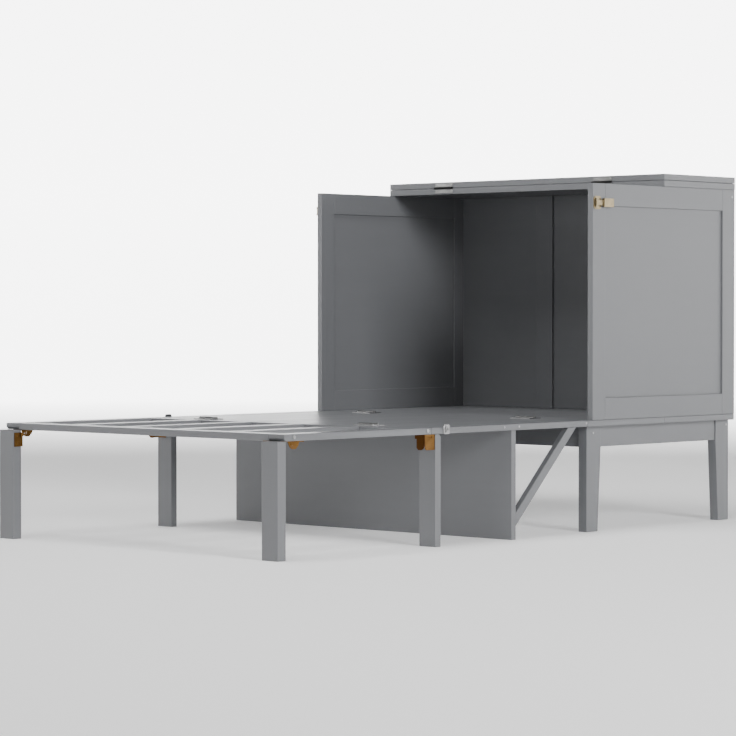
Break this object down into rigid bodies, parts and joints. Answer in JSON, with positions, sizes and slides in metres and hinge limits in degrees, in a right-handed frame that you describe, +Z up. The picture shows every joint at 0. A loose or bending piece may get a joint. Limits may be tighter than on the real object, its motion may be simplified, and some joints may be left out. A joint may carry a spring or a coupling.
{
  "type": "cabinet bed",
  "caption": "Grey cabinet bed opened out: a lidded cabinet on tapered legs, with a solid mid section and a slatted foot section hinged out of it on folding legs.",
  "frame": {"origin": "on the floor under the middle of the opened bed's bounding box", "axes": "+X to the right side seen from the foot, -Y towards the foot end, +Y towards the cabinet's back, +Z up"},
  "size_m": [1.124, 1.977, 1.044],
  "materials": {
    "grey_board": "satin grey paint",
    "steel": "nickel plated",
    "brass": "yellow passivated"
  },
  "bodies": {
    "cabinet": {"front_stile_right": "grey_board", "front_stile_left": "grey_board", "back_stile_right": "grey_board", "back_stile_left": "grey_board", "top_rail_right": "grey_board", "top_rail_left": "grey_board", "bottom_rail_right": "grey_board", "bottom_rail_left": "grey_board", "side_infill_right": "grey_board", "side_infill_left": "grey_board", "back_panel": "grey_board", "back_battens": "grey_board", "rear_top_board": "grey_board", "head_deck_front": "grey_board", "head_deck_back": "grey_board", "cabinet_front_legs": "grey_board", "cabinet_rear_legs": "grey_board", "side_aprons": "grey_board", "cross_aprons": "grey_board", "lid_hinge_fixed_leaves": "steel", "lid_hinge_pins": "steel", "door_hinge_head_leaves": "steel", "door_hinge_pins": "steel", "latch_bases": "brass", "latch_pins": "steel", "cabinet_screws": "steel"},
    "lid_body": {"lid": "grey_board", "lid_hinge_moving_leaves": "steel"},
    "mid_body": {"mid_deck": "grey_board", "stand_board": "grey_board", "braces": "grey_board", "door_hinge_foot_leaves": "steel", "fold_hinge_head_leaves": "steel", "fold_hinge_pins": "steel", "mid_leg_hangers": "steel", "mid_leg_pins": "steel", "latch_keepers": "steel", "mid_section_screws": "steel"},
    "foot_body": {"foot_side_rail_right": "grey_board", "foot_side_rail_left": "grey_board", "foot_end_rail": "grey_board", "foot_cross_rail": "grey_board", "foot_slat_1": "grey_board", "foot_slat_2": "grey_board", "foot_slat_3": "grey_board", "foot_slat_4": "grey_board", "fold_hinge_foot_leaves": "steel", "foot_leg_brackets": "brass", "foot_leg_pins": "steel", "foot_section_bolts": "steel"},
    "foot_leg_body_right": {"foot_leg_right": "grey_board", "foot_leg_shoe_right": "brass"},
    "mid_leg_body_right": {"mid_leg_right": "grey_board", "mid_leg_ledge_right": "brass"},
    "latch_lever_body_right": {"latch_lever_right": "brass"},
    "foot_leg_body_left": {"foot_leg_left": "grey_board", "foot_leg_shoe_left": "brass"},
    "mid_leg_body_left": {"mid_leg_left": "grey_board", "mid_leg_ledge_left": "brass"},
    "latch_lever_body_left": {"latch_lever_left": "brass"}
  },
  "joints": [
    {"name": "lid_fold", "type": "hinge", "parent": "cabinet", "child": "lid_body", "pos_m": [0, 0.6277, 1.0253], "axis": [1, 0, 0], "range_deg": [0, 180]},
    {"name": "door_fold", "type": "hinge", "parent": "cabinet", "child": "mid_body", "pos_m": [0, 0.274, 0.3275], "axis": [-1, 0, 0], "range_deg": [0, 90]},
    {"name": "foot_fold", "type": "hinge", "parent": "mid_body", "child": "foot_body", "pos_m": [0, -0.3995, 0.3275], "axis": [-1, 0, 0], "range_deg": [0, 180]},
    {"name": "foot_leg_fold_right", "type": "hinge", "parent": "foot_body", "child": "foot_leg_body_right", "pos_m": [0.48507, -0.95157, 0.296], "axis": [0.7071, 0.7071, 0], "range_deg": [0, 90]},
    {"name": "mid_leg_fold_right", "type": "hinge", "parent": "mid_body", "child": "mid_leg_body_right", "pos_m": [0.521, -0.3705, 0.294], "axis": [1, 0, 0], "range_deg": [0, 90]},
    {"name": "latch_swing_right", "type": "hinge", "parent": "cabinet", "child": "latch_lever_body_right", "pos_m": [0.5565, 0.3045, 0.95], "axis": [0, 0, -1], "range_deg": [0, 165]},
    {"name": "foot_leg_fold_left", "type": "hinge", "parent": "foot_body", "child": "foot_leg_body_left", "pos_m": [-0.48507, -0.95157, 0.296], "axis": [0.7071, -0.7071, 0], "range_deg": [0, 90]},
    {"name": "mid_leg_fold_left", "type": "hinge", "parent": "mid_body", "child": "mid_leg_body_left", "pos_m": [-0.521, -0.3705, 0.294], "axis": [1, 0, 0], "range_deg": [0, 90]},
    {"name": "latch_swing_left", "type": "hinge", "parent": "cabinet", "child": "latch_lever_body_left", "pos_m": [-0.5565, 0.3045, 0.95], "axis": [0, 0, 1], "range_deg": [0, 165]}
  ]
}
